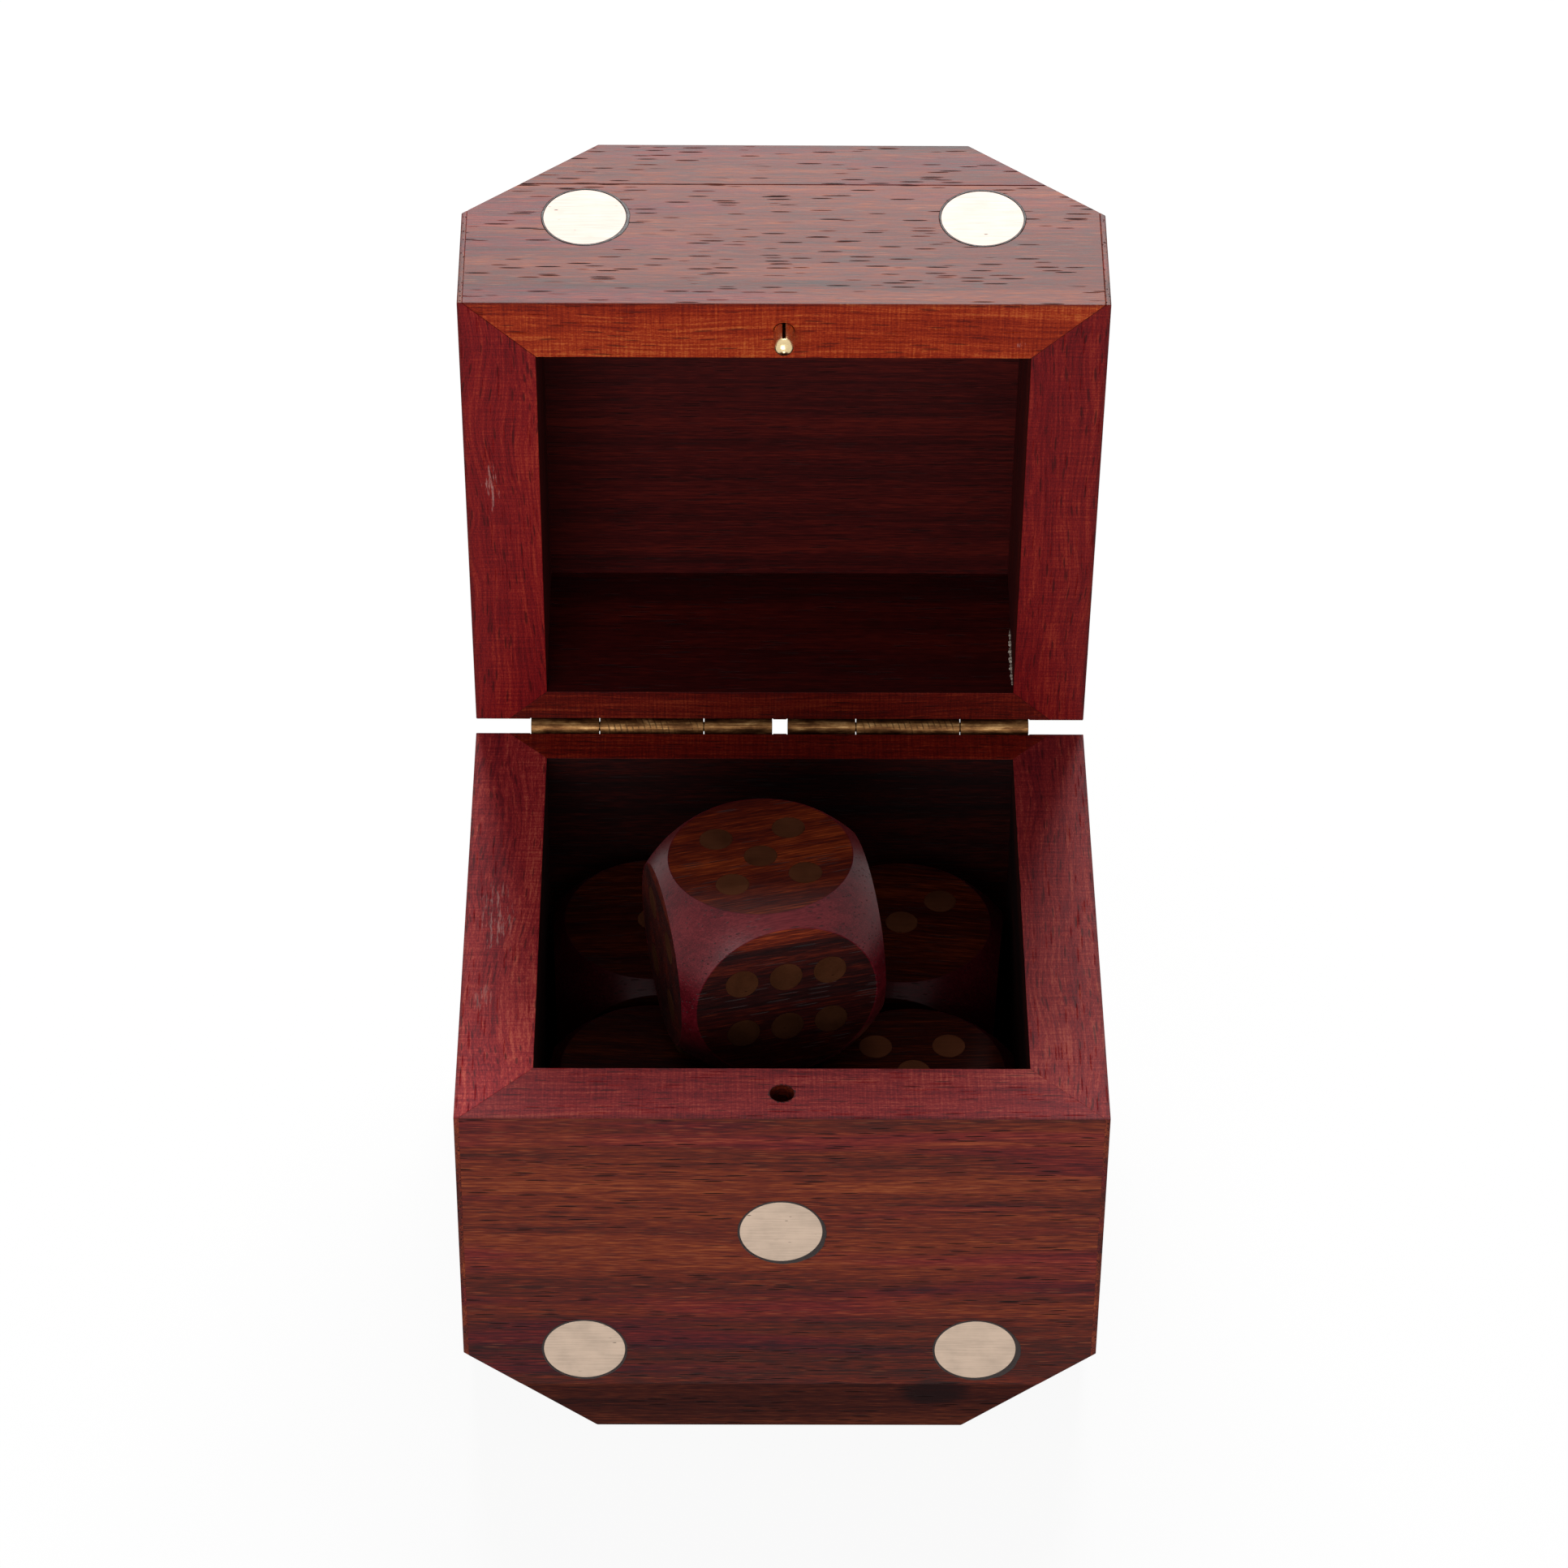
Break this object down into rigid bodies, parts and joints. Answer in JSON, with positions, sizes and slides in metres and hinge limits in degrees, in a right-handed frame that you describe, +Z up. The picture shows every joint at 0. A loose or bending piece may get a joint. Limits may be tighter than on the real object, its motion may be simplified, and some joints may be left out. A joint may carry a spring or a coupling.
{
  "type": "dice box with hinged lid",
  "caption": "Wooden dice box shaped like a large die, with cut corners, inlaid brass pips, a lid on brass hinges with a split catch pin, and rounded wooden dice inside.",
  "frame": {"origin": "middle of the box's flat underside", "axes": "+X towards the box's right side, +Y towards its back, where the hinges are, +Z up"},
  "size_m": [0.0636, 0.0826, 0.1044],
  "materials": {
    "base_wood": "satin",
    "lid_wood": "satin",
    "die_wood": "polished",
    "pip_brass": "brushed",
    "die_pip_brass": "brushed",
    "hinge_brass": "tarnished",
    "nail_brass": "polished",
    "catch_brass": "polished"
  },
  "bodies": {
    "base": {"base_floor_panel": "base_wood", "base_front_wall": "base_wood", "base_back_wall": "base_wood", "base_left_wall": "base_wood", "base_right_wall": "base_wood", "base_front_pips": "pip_brass", "base_back_pip": "pip_brass", "base_left_pips": "pip_brass", "base_right_pips": "pip_brass", "hinge_left_base_leaf": "hinge_brass", "hinge_left_pin": "hinge_brass", "hinge_right_base_leaf": "hinge_brass", "hinge_right_pin": "hinge_brass", "hinge_base_nails": "nail_brass", "die_front_left": "die_wood", "die_front_left_pips": "die_pip_brass", "die_front_right": "die_wood", "die_front_right_pips": "die_pip_brass", "die_back_left": "die_wood", "die_back_left_pips": "die_pip_brass", "die_back_right": "die_wood", "die_back_right_pips": "die_pip_brass", "die_top": "die_wood", "die_top_pips": "die_pip_brass"},
    "lid": {"lid_top_panel": "lid_wood", "lid_front_wall": "lid_wood", "lid_back_wall": "lid_wood", "lid_left_wall": "lid_wood", "lid_right_wall": "lid_wood", "lid_front_pips": "pip_brass", "lid_back_pip": "pip_brass", "lid_left_pips": "pip_brass", "lid_right_pip": "pip_brass", "lid_top_pips": "pip_brass", "hinge_left_lid_leaf": "hinge_brass", "hinge_right_lid_leaf": "hinge_brass", "hinge_lid_nails": "nail_brass", "catch_pin": "catch_brass"}
  },
  "joints": [
    {"name": "lid_hinge", "type": "hinge", "parent": "base", "child": "lid", "pos_m": [0, 0.0298, 0.0434], "axis": [-1, 0, 0], "range_deg": [-84, 91]}
  ]
}
